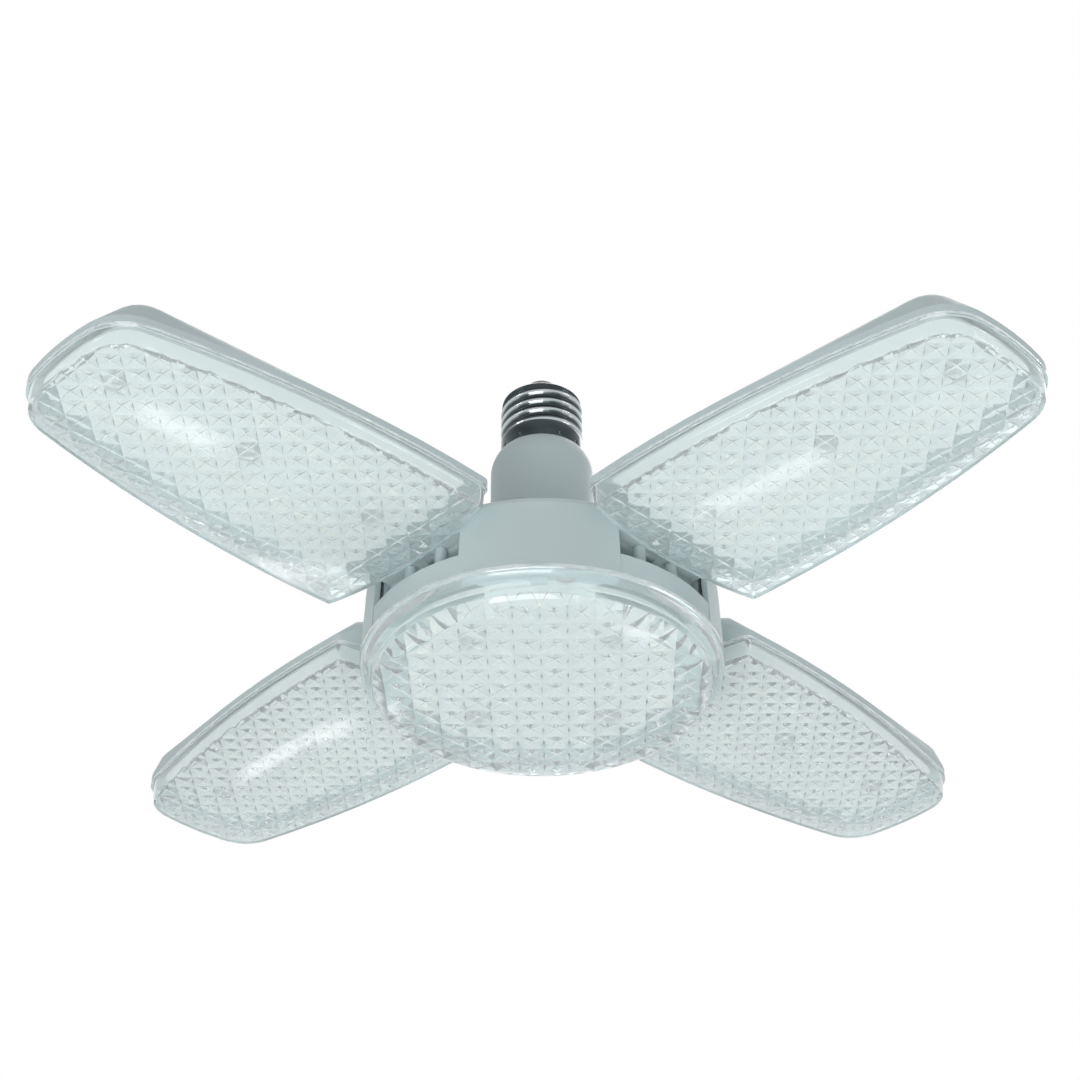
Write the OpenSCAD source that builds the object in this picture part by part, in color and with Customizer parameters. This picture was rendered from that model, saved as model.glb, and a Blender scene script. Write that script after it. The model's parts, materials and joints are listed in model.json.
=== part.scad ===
// Foldable four-blade LED garage light that screws into an E27 lampholder.
// Millimetres. +Z is up, towards the lampholder, and the light hangs below the origin.
// The origin is the middle of the cap's flat end contact.
// Heights inside the hub and the blades are measured up from the rim, the plane where the
// round lens meets the hub. A blade is drawn along +X, and at_blade() turns it into its place.

/* [Screw cap] */
// Diameter over the thread crests
thread_d = 26.2; // [25.8:0.05:26.6]
// Depth of the rolled thread
thread_depth = 0.95; // [0.7:0.05:1.1]
// Height of one turn of the thread
thread_pitch = 3.63; // [3.4:0.01:3.9]
// Turns of the thread
thread_turns = 4; // [3:1:5]
// Thickness of the shell's sheet under the thread
shell_t = 0.55; // [0.4:0.05:0.8]
// Height of the plain skirt below the thread
skirt_h = 6.8; // [4:0.1:9]
// Height of the rounded shoulder above the thread
shoulder_h = 2.6; // [2:0.1:4]
// Height of the insulator that shows above the shell
insulator_h = 4.2; // [3:0.1:5]
// Diameter of the insulator where it leaves the shell
insulator_d = 18; // [15:0.5:20]
// Height of the end contact
contact_h = 2; // [1.2:0.1:3]
// Diameter of the end contact
contact_d = 9.6; // [8:0.1:11]
// Diameter of the flat on top of the end contact
contact_flat_d = 6; // [4:0.1:7]
// Width of the shell's shoulder that lies under the insulator
seat_w = 2.5; // [1.5:0.1:3]
// How far the insulator and the contact's rivet reach down inside the shell
plug_h = 3.2; // [2.6:0.1:4]
// Diameter of the contact's rivet
rivet_d = 2.4; // [2:0.1:3]

/* [Neck] */
// Outer diameter of the neck
neck_d = 32.2; // [30:0.2:38]
// Diameter of the lip under the cap
lip_d = 27.4; // [27:0.1:28.6]
// Height over which the neck rounds in to the lip
neck_round_h = 7; // [5:0.5:9]
// Height from the hub's top to the lip
neck_h = 53.2; // [48:0.2:70]
// Radius of the hollow curve between neck and hub
bell_r = 16; // [14:0.5:17]
// How far the spigot goes up inside the cap
spigot_h = 4.4; // [3:0.1:4.8]
// Wall of the spigot
spigot_t = 1.5; // [1:0.1:1.8]

/* [Hub] */
// Outer diameter of the hub at the rim
hub_d = 108.4; // [108:0.2:112]
// How much smaller the hub's radius is at its top
hub_draft = 0.9; // [0.4:0.1:1.2]
// Height of the hub above the rim
hub_h = 24.6; // [24:0.1:25.6]
// Rounding of the hub's top edge
hub_edge_r = 2.8; // [2:0.1:3.6]
// Wall of the neck and the hub
wall = 2; // [1.6:0.1:2.2]
// Thickness of the base plate
base_t = 2; // [1.6:0.1:3]
// Diameter of the wire hole in the base plate
base_hole_d = 16; // [14:1:20]
// Height of the low wall at the foot of each blade slot
low_wall_h = 6.9; // [5.5:0.1:8.5]
// Wall of the raised tray at the foot of each slot
tray_t = 1.6; // [1.4:0.1:2.2]
// Width of each blade slot
slot_w = 36.8; // [35:0.1:38.4]
// Distance from the axis to the inner end of each slot
slot_in = 35.4; // [34:0.1:36.2]
// Thickness of the cheeks that carry the hinge pin
cheek_t = 3.2; // [3:0.1:3.6]

/* [Centre light] */
// Height of the round lens below the rim
lens_h = 10.1; // [9:0.1:16]
// How far the middle of the lens bulges below its edge
lens_crown = 0.7; // [0.4:0.1:2]
// Thickness of the flange at the rim
lens_flange_t = 1.4; // [1:0.1:2.2]
// Step from the flange's edge to the lens wall
lens_step = 1.1; // [0.8:0.1:1.6]
// Draft of the lens wall over its whole height
lens_draft = 2.2; // [1:0.1:3.6]
// Rounding of the lens's lower edge
lens_edge_r = 5; // [3:0.1:5.8]
// Wall of the round lens
lens_t = 1.6; // [1.4:0.1:2]
// Diameter of the centre board
centre_board_d = 84; // [74:1:86]
// Thickness of the centre board
centre_board_t = 1.6; // [1:0.1:2]
// Radius of the inner ring of LEDs
led_ring_in = 15; // [12:1:22]
// Radius of the outer ring of LEDs
led_ring_out = 37.5; // [35:0.5:38.5]
// Distance from the axis to the screws of the centre board
board_screw_r = 29.4; // [26:0.1:29.8]
// Distance from the axis to the screws of the base plate
base_screw_r = 46.4; // [46:0.1:46.8]
// Angle between a snap hook and the base plate screw beside it
base_screw_turn = 9; // [8:0.5:12]
// Width of a snap hook
hook_w = 4.6; // [4:0.1:5.6]
// Thickness of a snap hook's stem
hook_t = 1.4; // [1.2:0.1:1.6]
// How far a snap hook reaches down into the lens
hook_h = 4.2; // [4:0.1:5]
// How far a snap hook's barb sticks out
barb = 1; // [0.8:0.1:1.2]
// Depth of the top of the ledge inside the lens that the barbs catch under
ledge_top = 1.2; // [1:0.1:1.4]
// Thickness of that ledge
ledge_t = 1.1; // [0.9:0.1:1.2]
// Gap between the hooks and the ledge
snap_play = 0.3; // [0.2:0.05:0.4]

/* [Blades] */
// Height of the plane where a blade's shell meets its lens, above the rim
blade_level = 20.2; // [19.9:0.1:20.4]
// Distance from the axis to the tip
blade_tip = 174.8; // [140:0.2:220]
// Half of a blade's greatest width
blade_half_w = 35.3; // [32:0.1:36.8]
// Distance from the axis to the widest place
widest_at = 72.7; // [64:0.1:92]
// Radius of the long sides
side_arc_r = 395; // [310:1:640]
// Radius of the tip's end
tip_arc_r = 92; // [82:1:180]
// Radius of the tip's corners
tip_corner_r = 14.3; // [11:0.1:16.5]
// Distance from the axis to a blade's inner end
blade_in = 49.7; // [49.4:0.1:50.6]
// Radius of the inner end
inner_arc_r = 140; // [110:1:220]
// Radius of the inner corners
inner_corner_r = 2.8; // [2.4:0.1:5]
// Depth of the blade lens
blade_lens_h = 7.4; // [5.6:0.1:7.8]
// Thickness of the blade lens's flange
blade_flange_t = 1.1; // [0.8:0.1:1.5]
// Step from the edge of the blade lens's flange to its wall
lens_lip = 0.8; // [0.5:0.1:1.5]
// Wall of the blade lens
blade_lens_t = 1.5; // [1.2:0.1:1.8]
// Height of the blade shell
shell_h = 9.2; // [8.6:0.1:10.2]
// Height of the shell's upright rim
shell_rim_h = 2.2; // [2:0.1:2.8]
// Wall of the blade shell
shell_wall = 1.6; // [1.3:0.1:1.8]
// Half width of the shell's back beside the hub
back_w_in = 29; // [27.6:0.1:30]
// Half width of the shell's back at the tip
back_w_out = 23.5; // [22:0.1:26]
// Distance from the shell's back to the tip
back_gap = 6.4; // [4.6:0.1:8.4]
// Radius of the back's outer corners
back_corner_r = 9.2; // [7.4:0.1:11]
// Distance from the axis to the back's inner end
back_in = 50; // [49.8:0.1:50.6]
// Chamfer of the back's inner corners
back_chamfer = 3.7; // [2.8:0.1:5.4]
// Rounding of the back's edge
back_edge = 1.4; // [1:0.1:1.8]
// Thickness of the blade's board
blade_board_t = 1.2; // [1:0.1:1.6]
// Margin between a blade's outline and its board
board_margin = 6; // [5:0.1:8]
// Height of the board's lower face above the blade's plane
board_lift = 2; // [1.6:0.1:2.4]
// Columns of LEDs in a blade
led_columns = 11; // [8:1:13]
// Distance from the blade's middle line to a row of LEDs
led_row = 12; // [9:0.5:15]

/* [Hinges] */
// Diameter of the pegs that stop an open blade
peg_d = 3.6; // [3:0.1:4.4]
// Distance from a hinge pin to its stop pegs
peg_at = 4.6; // [4:0.1:5.2]
// Distance from the axis to the hinge pin
hinge_at = 42.3; // [41.9:0.1:42.7]
// Height of the hinge pin above the rim
hinge_level = 20.2; // [20:0.1:20.4]
// Diameter of the hinge pin
pin_d = 3.6; // [3:0.1:4.2]
// Diameter of the knuckles
knuckle_d = 9.6; // [7.6:0.1:10]
// Gap in the middle between the two knuckles, where the leads pass
lead_gap = 7.4; // [5.6:0.1:11]
// Height of the tongue's web
web_h = 8.3; // [7.4:0.1:8.6]
// Thickness of a friction washer
washer_t = 0.9; // [0.6:0.1:1.3]
// Diameter of a friction washer
washer_d = 8.3; // [7.4:0.1:9.2]
// Height of the middle of the tongue's web above the hinge pin
web_lift = 0.5; // [0:0.1:0.8]
// Depth of the slot in each cheek that takes an end of the pin
pin_pocket = 2.3; // [1.9:0.1:2.4]
// Width of the hole in a blade's inner end that its leads pass through
lead_hole_w = 3.6; // [3:0.1:6]
// Height of that hole
lead_hole_h = 1.8; // [1.5:0.1:3]

/* [Electronics and screws] */
// Width of the driver board
driver_w = 24.6; // [20:0.2:25.4]
// Height of the driver board
driver_h = 38; // [33:1:40]
// Thickness of the driver board
driver_t = 1.6; // [1:0.1:2]
// Thickness of the rails that hold the driver board
rail_t = 1.5; // [1:0.1:2]
// How far the rails reach over the board's edge
rail_grip = 1.6; // [1:0.1:2]
// Distance from the board's ends to the rails' ends
rail_inset = 5; // [3:0.5:8]
// Diameter of the smoothing capacitor
capacitor_d = 8; // [6:0.5:9]
// Diameter of the fuse
fuse_d = 3.2; // [2.5:0.1:4]
// Diameter of a lead to the cap
lead_d = 1.2; // [0.8:0.1:1.5]
// Length of an LED package
led_l = 3.5; // [2.5:0.1:3.6]
// Width of an LED package
led_w = 2.8; // [2:0.1:3]
// Thickness of an LED package
led_t = 0.8; // [0.5:0.1:1]
// Diameter of a screw's shank
screw_d = 2.6; // [2.2:0.1:2.8]
// Diameter of a screw's head
screw_head_d = 5; // [4.2:0.1:5.2]
// Height of a screw's head
screw_head_h = 1.5; // [1.2:0.1:1.7]
// Diameter of the bosses that screws go into
boss_d = 6; // [5.4:0.1:6.4]
// How far the base plate's screws reach up into the housing's bosses
base_screw_h = 11; // [8:0.5:12]
// Height of the base plate's bosses, which take the centre board's screws
board_boss_h = 4; // [3.6:0.1:4.5]

/* [Fits] */
// Radial clearance of a knuckle on the hinge pin
pin_play = 0.05; // [0.02:0.01:0.1]
// Radial clearance of the hinge pin in its cheeks
pin_seat = 0.02; // [0.01:0.01:0.05]
// Radial clearance of a screw in its boss
screw_play = 0.05; // [0.02:0.01:0.1]
// Gap between pieces that don't move against each other
gap = 0.2; // [0.1:0.05:0.3]
// Gap between an open blade and the pegs that stop it
stop_gap = 0.3; // [0.2:0.05:0.5]

/* [Hidden] */
$fn = 96;
tiny = 0.01;
hull_slice = 0.02;

BLADE_PIECES = ["blade_shell", "blade_lens", "blade_board", "blade_leds", "blade_screws",
    "hinge_bracket", "hinge_pin", "friction_washers"];

// Levels of the whole light, down from the origin
thread_top = -contact_h - insulator_h - shoulder_h;
thread_bottom = thread_top - thread_turns * thread_pitch;
lip_z = thread_bottom - skirt_h;
rim_z = lip_z - neck_h - hub_h;

// Radii of the cap
crest_r = thread_d / 2;
root_r = crest_r - thread_depth;
THREAD_SIDES = 36;
skirt_r = crest_r - 0.1;
shell_in_r = root_r - shell_t;
skirt_in_r = skirt_r - shell_t;
spigot_r = skirt_in_r * cos(180 / THREAD_SIDES) - gap / 2;
cap_hole_r = insulator_d / 2 - seat_w;
rivet_low = -contact_h - plug_h / 2;
// Share of the shoulder's height, and how far its outside and inside have drawn in there
SHOULDER_OUT = [[0.2, 0.2], [0.6, 1.3], [0.9, 3]];
SHOULDER_IN = [0.3, 1.3];

// Heights above the rim
SPIGOT_ROOT = 2.5;
lip_h = hub_h + neck_h;
taper_h = lip_h - neck_round_h - SPIGOT_ROOT;
neck_round_r = (pow(neck_round_h, 2) + pow(neck_d / 2 - lip_d / 2, 2)) / (neck_d - lip_d);
hub_r = hub_d / 2;
top_r = hub_r - hub_draft;
ceiling_h = hub_h - wall;
// Distance from the lens wall to the back of a snap hook
HOOK_BACK = 3.3;
tray_w = slot_w - 2 * gap;
hook_r = hub_r - lens_step - lens_t - HOOK_BACK;
corner = 1;
bracket_h = ceiling_h - base_t;
web_low = hinge_level + web_lift - web_h / 2;

driver_top = taper_h;
driver_low = driver_top - driver_h;

// Places along the hinge pin, out from the blade's middle line
knuckle_end = slot_w / 2 - washer_t - 0.1;
pocket_end = slot_w / 2 + pin_pocket;
cheek_end = slot_w / 2 + cheek_t;

// A blade's arcs, each as a centre: side, tip, inner end
side_c = [widest_at, blade_half_w - side_arc_r];
tip_c = [blade_tip - tip_arc_r, 0];
inner_c = [blade_in + inner_arc_r, 0];
back_out = blade_tip - back_gap;
blade_screw_places = [for (share = [0.16, 0.5, 0.84]) [blade_in + share * (blade_tip - blade_in), 0]];

white_plastic = [0.80, 0.83, 0.83];
clear_plastic = [0.86, 0.92, 0.91, 0.55];
nickel = [0.42, 0.45, 0.46];
steel = [0.70, 0.71, 0.73];
board_white = [0.93, 0.94, 0.93];
led_yellow = [0.93, 0.85, 0.45];

// ---------- Outlines ----------

// Points of an arc after its first one
function arc(c, r, from, to, n) =
    [for (k = [1:n]) c + r * [cos(from + (to - from) * k / n), sin(from + (to - from) * k / n)]];

function direction(from, to) = atan2(to.y - from.y, to.x - from.x);

// The point at distance ra from a and rb from b, on the left of the line from a to b
function meeting(a, ra, b, rb) =
    let (d = norm(b - a), along = (ra * ra - rb * rb + d * d) / (2 * d),
        across = sqrt(ra * ra - along * along), e = (b - a) / d)
    a + along * e + across * [-e.y, e.x];

// Half of a blade's outline, from the tip to the inner end, drawn in by inset
function half_outline(inset) =
    let (inner_r = max(inner_corner_r, inset + 1),
        outer = meeting(tip_c, tip_arc_r - tip_corner_r, side_c, side_arc_r - tip_corner_r),
        inner = meeting(side_c, side_arc_r - inner_r, inner_c, inner_arc_r - inner_r),
        a_tip = direction(tip_c, outer), a_side = direction(side_c, outer),
        a_inner = direction(side_c, inner), a_end = direction(inner_c, inner))
    concat([[blade_tip - inset, 0]],
        arc(tip_c, tip_arc_r - inset, 0, a_tip, 3),
        arc(outer, tip_corner_r - inset, a_tip, a_side, 7),
        arc(side_c, side_arc_r - inset, a_side, a_inner, 9),
        arc(inner, inner_r - inset, a_inner, a_end, 3),
        arc(inner_c, inner_arc_r - inset, a_end, 180, 4));

function both_halves(half) =
    concat(half, [for (k = [len(half) - 2:-1:1]) [half[k].x, -half[k].y]]);

function blade_outline(inset = 0) = both_halves(half_outline(inset));

// Outline of the shell's back: straight sides, round outer corners, chamfered inner ones
function back_outline(inset = 0) = both_halves(concat(
    [[back_out - inset, 0]],
    [[back_out - inset, back_w_out - back_corner_r]],
    arc([back_out - back_corner_r, back_w_out - back_corner_r], back_corner_r - inset, 0, 88, 5),
    [[back_in + back_chamfer + inset / 2, back_w_in - inset],
        [back_in + inset, back_w_in - back_chamfer - inset / 2], [back_in + inset, 0]]));

module slice(outline, h, t = hull_slice) {
    translate([0, 0, h]) linear_extrude(t) polygon(outline);
}

// ---------- Placing ----------

module from_rim() {
    translate([0, 0, rim_z]) children();
}

module at_blade(i) {
    rotate([0, 0, 90 * i - 45]) from_rim() children();
}

module each_blade() {
    for (i = [1:4]) rotate([0, 0, 90 * i - 45]) children();
}

// A cylinder along the hinge pin's direction, from one place on it to another
module along_pin(d, from, to) {
    translate([hinge_at, from, hinge_level]) rotate([-90, 0, 0]) cylinder(d = d, h = to - from);
}

// A screw with a pan head below and its shank upwards
module screw(length) {
    cylinder(d = screw_d, h = length);
    translate([0, 0, -screw_head_h]) cylinder(d = screw_head_d, h = screw_head_h);
}

// ---------- Cap ----------

// Radius of the threaded surface. The thread fades in and out over half a turn.
function thread_r(z, a) =
    let (fade = min(1, min(z - thread_bottom, thread_top - z) / (thread_pitch / 2)))
    root_r + thread_depth * (1 + max(0, fade) * cos(360 * z / thread_pitch - a)) / 2;

// The shell's section as rings of [height, radius], up the outside and down the inside
THREAD_ROWS = 8 * thread_turns;
function shell_rings(a) = concat(
    [[lip_z, skirt_r], [thread_bottom - shell_t, skirt_r]],
    [for (k = [0:THREAD_ROWS])
        let (z = thread_bottom + (thread_top - thread_bottom) * k / THREAD_ROWS)
        [z, thread_r(z, a)]],
    [for (p = SHOULDER_OUT) [thread_top + p[0] * shoulder_h, root_r - p[1]]],
    [[thread_top + shoulder_h, cap_hole_r], [thread_top + shoulder_h - shell_t, cap_hole_r],
        [thread_top + SHOULDER_IN[0] * shoulder_h, shell_in_r - SHOULDER_IN[1]],
        [thread_top - shell_t, shell_in_r], [thread_bottom, shell_in_r],
        [thread_bottom - thread_depth, skirt_in_r], [lip_z, skirt_in_r]]);

module screw_shell() {
    rings = [for (i = [0:THREAD_SIDES - 1])
        [for (p = shell_rings(360 * i / THREAD_SIDES))
            [p[1] * cos(360 * i / THREAD_SIDES), p[1] * sin(360 * i / THREAD_SIDES), p[0]]]];
    n = len(rings[0]);
    color(nickel) polyhedron(
        points = [for (ring = rings) each ring],
        faces = [for (i = [0:THREAD_SIDES - 1], j = [0:n - 1], side = [0, 1])
            let (next = (i + 1) % THREAD_SIDES, up = (j + 1) % n)
            side == 0 ? [i * n + j, i * n + up, next * n + j]
                : [next * n + j, i * n + up, next * n + up]]);
}

module cap_insulator() {
    shell_top = thread_top + shoulder_h;
    bore_r = rivet_d / 2 + screw_play;
    // Share of the insulator's height, and the radius there
    cone = [[0, insulator_d / 2], [0.25, 0.92 * insulator_d / 2], [0.8, 1.12 * contact_d / 2],
        [1, 1.04 * contact_d / 2]];
    color([0.14, 0.13, 0.15]) rotate_extrude() polygon(concat(
        [[bore_r, -contact_h], [bore_r, shell_top - plug_h], [cap_hole_r - gap, shell_top - plug_h],
            [cap_hole_r - gap, shell_top + tiny]],
        [for (p = cone) [p[1], shell_top + max(tiny, p[0] * insulator_h)]]));
}

module centre_contact() {
    color(nickel) rotate_extrude() polygon([
        [0, 0], [contact_flat_d / 2, 0], [0.87 * contact_d / 2, -0.25 * contact_h],
        [contact_d / 2, -0.65 * contact_h], [contact_d / 2, -contact_h],
        [rivet_d / 2, -contact_h], [rivet_d / 2, rivet_low], [0, rivet_low]]);
}

// ---------- Neck and hub ----------

housing_outside = concat(
    [[hub_r, 0]],
    arc([top_r - hub_edge_r, hub_h - hub_edge_r], hub_edge_r, -6, 90, 8),
    arc([neck_d / 2 + bell_r, hub_h + bell_r], bell_r, 276, 180, 16),
    arc([neck_d / 2 - neck_round_r, lip_h - neck_round_h], neck_round_r,
        0, asin(neck_round_h / neck_round_r), 8),
    [[spigot_r, lip_h], [spigot_r, lip_h + spigot_h]]);
housing_inside = concat(
    [[spigot_r - spigot_t, lip_h + spigot_h], [spigot_r - spigot_t, lip_h - SPIGOT_ROOT],
        [neck_d / 2 - wall, taper_h]],
    arc([neck_d / 2 + bell_r, hub_h + bell_r], bell_r + wall, 180, 270, 12),
    [[top_r - wall - corner, ceiling_h], [top_r - wall, ceiling_h - corner], [hub_r - wall, 0]]);

module base_screw_places() {
    for (k = [0:3]) rotate([0, 0, 90 * k + base_screw_turn]) translate([base_screw_r, 0, 0]) children();
}

// Rails on both sides of the driver board's edges
module driver_rails() {
    for (sx = [-1, 1], sy = [-1, 1])
        translate([sx < 0 ? -neck_d / 2 + wall / 2 : driver_w / 2 - rail_grip,
                sy < 0 ? -driver_t / 2 - gap / 2 - rail_t : driver_t / 2 + gap / 2,
                driver_low + rail_inset])
            cube([neck_d / 2 - wall / 2 - driver_w / 2 + rail_grip, rail_t, driver_h - 2 * rail_inset]);
}

module neck_housing() {
    color(white_plastic) from_rim() difference() {
        union() {
            difference() {
                rotate_extrude() polygon(concat(housing_outside, housing_inside));
                each_blade() translate([slot_in, -slot_w / 2, -1])
                    cube([hub_r, slot_w, hub_h + bell_r]);
            }
            base_screw_places() translate([0, 0, base_t + gap / 2])
                cylinder(d = boss_d, h = ceiling_h - base_t);
            driver_rails();
        }
        base_screw_places() translate([0, 0, base_t])
            cylinder(d = screw_d + 2 * screw_play, h = base_screw_h + 3);
    }
}

// The raised tray at the foot of a slot, with its low outer wall
module tray() {
    intersection() {
        translate([slot_in + gap, -tray_w / 2, 0]) cube([hub_r, tray_w, low_wall_h]);
        cylinder(r = hub_r - 2 * gap, h = low_wall_h);
    }
}

module peg_places() {
    for (s = [-1, 1]) translate([hinge_at + peg_at, s * (lead_gap + peg_d + 2) / 2, 0]) children();
}

module snap_hook() {
    stem_r = hook_r + hook_t;
    barb_top = -ledge_top - ledge_t - snap_play;
    bevel = 0.8 * barb;
    rotate([90, 0, 0]) translate([0, 0, -hook_w / 2]) linear_extrude(hook_w) polygon([
        [hook_r, tiny], [hook_r, -hook_h], [stem_r + barb - bevel, -hook_h],
        [stem_r + barb, bevel - hook_h], [stem_r + barb, barb_top], [stem_r, barb_top],
        [stem_r, tiny]]);
}

module base_plate() {
    color(white_plastic) from_rim() difference() {
        union() {
            cylinder(r = hub_r - wall - 0.8, h = base_t);
            each_blade() tray();
            each_blade() translate([board_screw_r, 0, base_t - tiny])
                cylinder(d = boss_d, h = board_boss_h);
            for (k = [0:3]) rotate([0, 0, 90 * k]) snap_hook();
        }
        translate([0, 0, -1]) cylinder(d = base_hole_d, h = base_t + 2);
        each_blade() intersection() {
            translate([slot_in + gap + tray_t, -tray_w / 2 + tray_t, -1])
                cube([hub_r, tray_w - 2 * tray_t, low_wall_h - tray_t + 1]);
            translate([0, 0, -1]) cylinder(r = hub_r - 2 * gap - tray_t, h = low_wall_h + 2);
        }
        each_blade() peg_places() cylinder(d = peg_d / 2 + 2 * screw_play, h = low_wall_h + 1);
        each_blade() translate([board_screw_r, 0, -1])
            cylinder(d = screw_d + 2 * screw_play, h = base_t + board_boss_h + 2);
        base_screw_places() translate([0, 0, -1])
            cylinder(d = screw_d + 2 * screw_play, h = base_t + 2);
    }
}

module base_screws() {
    color(steel) from_rim() base_screw_places() screw(base_t + base_screw_h);
}

// Blocks that fill the pin slots of the brackets and hold the pins up in them
module pin_blocks() {
    top = hinge_level - 0.3 * pin_d;
    color(white_plastic) from_rim() each_blade() for (s = [-1, 1]) difference() {
        translate([hinge_at - pin_d / 2 + gap / 2, s < 0 ? -pocket_end + gap / 2 : slot_w / 2 + gap / 2,
                base_t])
            cube([pin_d - gap, pin_pocket - gap, top - base_t]);
        along_pin(pin_d + 2 * pin_seat, -cheek_end, cheek_end);
    }
}

// Pegs that stand in the trays and stop an open blade from dropping below level
module stop_pegs() {
    color(white_plastic) from_rim() each_blade() peg_places() {
        translate([0, 0, low_wall_h - tray_t]) cylinder(d = peg_d / 2, h = tray_t + 1);
        translate([0, 0, low_wall_h]) cylinder(d = peg_d, h = web_low - stop_gap - low_wall_h);
    }
}

// ---------- Centre light ----------

module centre_board() {
    color(board_white) from_rim() difference() {
        translate([0, 0, -centre_board_t]) cylinder(d = centre_board_d, h = centre_board_t);
        each_blade() translate([board_screw_r, 0, -centre_board_t - 1])
            cylinder(d = screw_d + 2 * screw_play, h = centre_board_t + 2);
    }
}

module led() {
    translate([-led_l / 2, -led_w / 2, 0]) cube([led_l, led_w, led_t]);
}

module centre_leds() {
    color(led_yellow) from_rim() translate([0, 0, -centre_board_t - led_t]) {
        for (k = [0:7]) rotate([0, 0, 45 * k]) translate([led_ring_in, 0, 0]) led();
        for (k = [0:15]) rotate([0, 0, 22.5 * k]) translate([led_ring_out, 0, 0]) led();
    }
}

module board_screws() {
    color(steel) from_rim() each_blade() translate([board_screw_r, 0, -centre_board_t])
        screw(centre_board_t + base_t + 0.85 * board_boss_h);
}

module centre_lens() {
    wall_top = hub_r - lens_step;
    wall_low = wall_top - lens_draft;
    low = -lens_h;
    flat_r = wall_low - lens_edge_r;
    ledge_r = hook_r + hook_t + snap_play;
    outside = concat(
        [[hub_r, 0], [hub_r, -lens_flange_t], [wall_top, -lens_flange_t]],
        arc([wall_low - lens_edge_r, low + lens_edge_r], lens_edge_r, 0, -85, 7),
        [[flat_r * 0.6, low - 0.62 * lens_crown], [flat_r * 0.3, low - 0.9 * lens_crown],
            [0, low - lens_crown]]);
    inside = concat(
        [[0, low - lens_crown + lens_t], [flat_r * 0.6, low - 0.62 * lens_crown + lens_t]],
        arc([wall_low - lens_edge_r, low + lens_edge_r], lens_edge_r - lens_t, -85, 0, 5),
        [[wall_top - lens_t, -ledge_top - ledge_t], [ledge_r, -ledge_top - ledge_t],
            [ledge_r, -ledge_top], [wall_top - lens_t, -ledge_top], [wall_top - lens_t, 0]]);
    color(clear_plastic) from_rim() rotate_extrude() polygon(concat(outside, inside));
}

// ---------- Driver ----------

module driver_board() {
    color([0.16, 0.42, 0.24]) from_rim()
        translate([-driver_w / 2, -driver_t / 2, driver_low]) cube([driver_w, driver_t, driver_h]);
}

module transformer() {
    coil = [9, 5, 12];
    flange = [coil.x + 4, 3, coil.z + 2];
    color([0.86, 0.74, 0.25]) from_rim()
        translate([-flange.x / 2, driver_t / 2, driver_low + rail_inset]) {
            cube(flange);
            translate([2, flange.y - tiny, 1]) cube([coil.x, coil.y + 2 * tiny, coil.z]);
            translate([0, flange.y + coil.y, 0]) cube([flange.x, flange.y / 2, flange.z]);
        }
}

module capacitor() {
    color([0.12, 0.16, 0.34]) from_rim()
        translate([-driver_w / 5, -(driver_t + capacitor_d) / 2, driver_low + rail_inset])
            cylinder(d = capacitor_d, h = 15);
}

module rectifier() {
    color([0.15, 0.15, 0.15]) from_rim()
        translate([-4, driver_t / 2, driver_top - 11]) cube([8, 2.6, 6.5]);
}

module fuse() {
    color([0.66, 0.56, 0.42]) from_rim()
        translate([-5, -(driver_t + fuse_d) / 2, driver_top - 8]) rotate([0, 90, 0])
            cylinder(d = fuse_d, h = 10);
}

module contact_lead() {
    low = rim_z + driver_top;
    color("firebrick") translate([0, 0, low]) cylinder(d = lead_d, h = rivet_low - low);
}

module shell_lead() {
    top = lip_h + spigot_h + 0.75 * lead_d;
    place = spigot_r - spigot_t - 0.75 * lead_d;
    color("royalblue") from_rim() translate([place, 0, 0]) {
        translate([0, 0, driver_top]) cylinder(d = lead_d, h = top - driver_top);
        translate([0, 0, top]) rotate([0, 90, 0])
            cylinder(d = lead_d, h = shell_in_r - place - screw_play);
        translate([0, 0, top]) sphere(d = lead_d);
    }
}

module driver_leads() {
    color("gold") from_rim() for (s = [-1, 1]) translate([s * driver_w / 5, 0, 0])
        cylinder(d = 1.3 * lead_d, h = driver_low);
}

// ---------- Blades ----------

module shell_outside() {
    hull() {
        slice(blade_outline(), 0, shell_rim_h);
        slice(back_outline(), shell_h - back_edge);
        slice(back_outline(0.8 * back_edge), shell_h - hull_slice);
    }
}

module shell_cavity() {
    roof = shell_h - shell_wall;
    hull() {
        slice(blade_outline(shell_wall), -1, 1 + shell_rim_h);
        slice(back_outline(1.3 * shell_wall), roof - hull_slice);
    }
}

// The tongue: two knuckles on the pin, with a web from each into the shell
module tongue() {
    for (s = [-1, 1]) {
        low_v = s < 0 ? -knuckle_end : lead_gap / 2;
        long = knuckle_end - lead_gap / 2;
        along_pin(knuckle_d, low_v, low_v + long);
        translate([hinge_at, low_v, web_low])
            cube([blade_in - 0.5 - hinge_at, long, blade_level - web_low]);
        translate([hinge_at, low_v, blade_level])
            cube([blade_in + 4 - hinge_at, long, web_low + web_h - blade_level]);
    }
}

module blade_shell(i) {
    color(white_plastic) at_blade(i) difference() {
        union() {
            difference() {
                translate([0, 0, blade_level]) shell_outside();
                translate([0, 0, blade_level]) shell_cavity();
                translate([blade_in - 1, -lead_hole_w / 2, blade_level + board_lift + blade_board_t])
                    cube([4, lead_hole_w, lead_hole_h]);
            }
            tongue();
            for (p = blade_screw_places)
                translate([p.x, p.y, blade_level + board_lift + blade_board_t])
                    cylinder(d = boss_d, h = shell_h - shell_wall - board_lift - blade_board_t + 0.5);
        }
        along_pin(pin_d + 2 * pin_play, -knuckle_end - 1, knuckle_end + 1);
        for (p = blade_screw_places) translate([p.x, p.y, blade_level])
            cylinder(d = screw_d + 2 * screw_play, h = shell_h - shell_wall);
    }
}

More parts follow.
